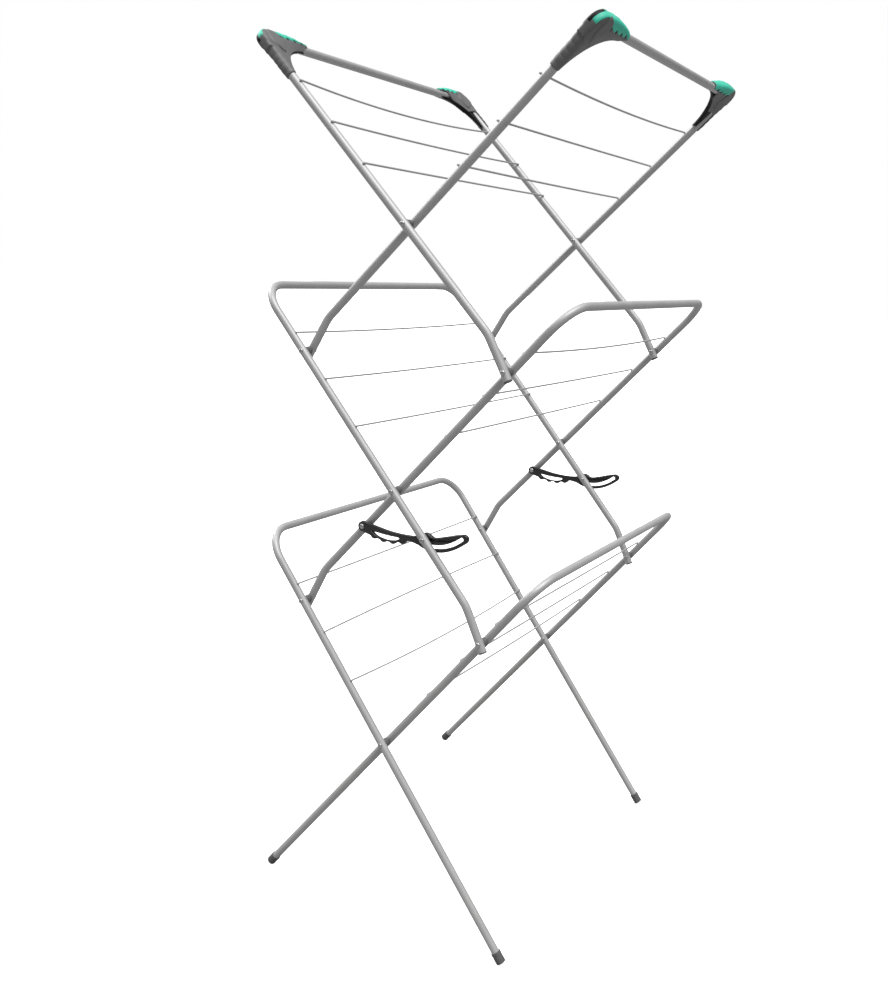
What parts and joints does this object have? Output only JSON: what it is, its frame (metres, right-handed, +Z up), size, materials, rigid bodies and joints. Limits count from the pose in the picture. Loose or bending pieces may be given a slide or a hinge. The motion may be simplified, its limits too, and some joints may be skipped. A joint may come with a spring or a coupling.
{
  "type": "clothes drying rack",
  "caption": "Three-tier folding drying rack: crossed U-shaped tube frames with drying wires, side locks, dark corner covers and green grips.",
  "frame": {"origin": "centre of the rack on the floor, under its feet", "axes": "+Z up, Y along the rails and wires with the front at -Y, X across the rack, the way the frames lean"},
  "size_m": [0.5442, 0.64, 1.3532],
  "materials": {
    "tube_steel": "silver-grey powder coat, satin",
    "wire_steel": "silver-grey powder coat, satin",
    "cover_plastic": "dark grey, fine moulded grain",
    "clip_plastic": "black, fine moulded grain",
    "grip_rubber": "mint green, soft ribbed",
    "foot_plastic": "dark grey, matt",
    "plug_plastic": "dark grey, matt",
    "spacer_plastic": "dark grey, matt",
    "lock_plastic": "black, semi-gloss",
    "rivet_steel": "zinc plated, domed"
  },
  "bodies": {
    "leg_frame_left": {"leg_left_tube": "tube_steel", "leg_left_wire_1": "wire_steel", "leg_left_wire_2": "wire_steel", "leg_left_wire_3": "wire_steel", "leg_left_foot_near": "foot_plastic", "leg_left_foot_far": "foot_plastic", "leg_left_rivets": "rivet_steel", "leg_left_spacers": "spacer_plastic"},
    "leg_frame_right": {"leg_right_tube": "tube_steel", "leg_right_wire_1": "wire_steel", "leg_right_wire_2": "wire_steel", "leg_right_wire_3": "wire_steel", "leg_right_foot_near": "foot_plastic", "leg_right_foot_far": "foot_plastic"},
    "middle_frame_left": {"middle_left_tube": "tube_steel", "middle_left_wire_1": "wire_steel", "middle_left_wire_2": "wire_steel", "middle_left_wire_3": "wire_steel", "middle_left_plug_near": "plug_plastic", "middle_left_plug_far": "plug_plastic", "middle_left_rivets": "rivet_steel", "middle_left_spacers": "spacer_plastic", "catch_pins": "rivet_steel"},
    "middle_frame_right": {"middle_right_tube": "tube_steel", "middle_right_wire_1": "wire_steel", "middle_right_wire_2": "wire_steel", "middle_right_wire_3": "wire_steel", "middle_right_plug_near": "plug_plastic", "middle_right_plug_far": "plug_plastic", "lock_rivets": "rivet_steel"},
    "top_frame_left": {"top_left_tube": "tube_steel", "top_left_wire_1": "wire_steel", "top_left_wire_2": "wire_steel", "top_left_wire_3": "wire_steel", "top_left_plug_near": "plug_plastic", "top_left_plug_far": "plug_plastic", "top_left_cover_near": "cover_plastic", "top_left_cover_far": "cover_plastic", "top_left_clip_near": "clip_plastic", "top_left_clip_far": "clip_plastic", "top_left_grip_near": "grip_rubber", "top_left_grip_far": "grip_rubber", "top_left_rivets": "rivet_steel", "top_left_spacers": "spacer_plastic"},
    "top_frame_right": {"top_right_tube": "tube_steel", "top_right_wire_1": "wire_steel", "top_right_wire_2": "wire_steel", "top_right_wire_3": "wire_steel", "top_right_plug_near": "plug_plastic", "top_right_plug_far": "plug_plastic", "top_right_cover_near": "cover_plastic", "top_right_cover_far": "cover_plastic", "top_right_clip_near": "clip_plastic", "top_right_clip_far": "clip_plastic", "top_right_grip_near": "grip_rubber", "top_right_grip_far": "grip_rubber"},
    "lock_stay_near": {"lock_near": "lock_plastic"},
    "lock_stay_far": {"lock_far": "lock_plastic"}
  },
  "joints": [
    {"name": "fold", "type": "hinge", "parent": "leg_frame_left", "child": "leg_frame_right", "pos_m": [0, 0, 0.29435], "axis": [0, 1, 0], "range_deg": [0, 85]},
    {"name": "middle_right_pivot", "type": "hinge", "parent": "leg_frame_left", "child": "middle_frame_right", "pos_m": [-0.15906, 0, 0.49612], "axis": [0, 1, 0], "range_deg": [0, 85]},
    {"name": "middle_left_pivot", "type": "hinge", "parent": "middle_frame_right", "child": "middle_frame_left", "pos_m": [0, 0, 0.69788], "axis": [0, 1, 0], "range_deg": [-85, 0]},
    {"name": "top_left_pivot", "type": "hinge", "parent": "middle_frame_right", "child": "top_frame_left", "pos_m": [0.17078, 0, 0.88983], "axis": [0, 1, 0], "range_deg": [-85, 0]},
    {"name": "top_right_pivot", "type": "hinge", "parent": "top_frame_left", "child": "top_frame_right", "pos_m": [0, 0, 1.08177], "axis": [0, 1, 0], "range_deg": [0, 85]},
    {"name": "lock_near_pivot", "type": "hinge", "parent": "middle_frame_right", "child": "lock_stay_near", "pos_m": [-0.05717, -0.3, 0.63363], "axis": [0, 1, 0], "range_deg": [-40, 0]},
    {"name": "lock_far_pivot", "type": "hinge", "parent": "middle_frame_right", "child": "lock_stay_far", "pos_m": [-0.05717, 0.3, 0.63363], "axis": [0, 1, 0], "range_deg": [-40, 0]}
  ],
  "couplings": [
    {"joint": "middle_right_pivot", "follows": "fold", "ratio": 1},
    {"joint": "middle_left_pivot", "follows": "fold", "ratio": -1},
    {"joint": "top_left_pivot", "follows": "fold", "ratio": -1},
    {"joint": "top_right_pivot", "follows": "fold", "ratio": 1},
    {"joint": "lock_near_pivot", "follows": "fold", "ratio": -0.46},
    {"joint": "lock_far_pivot", "follows": "fold", "ratio": -0.46}
  ]
}
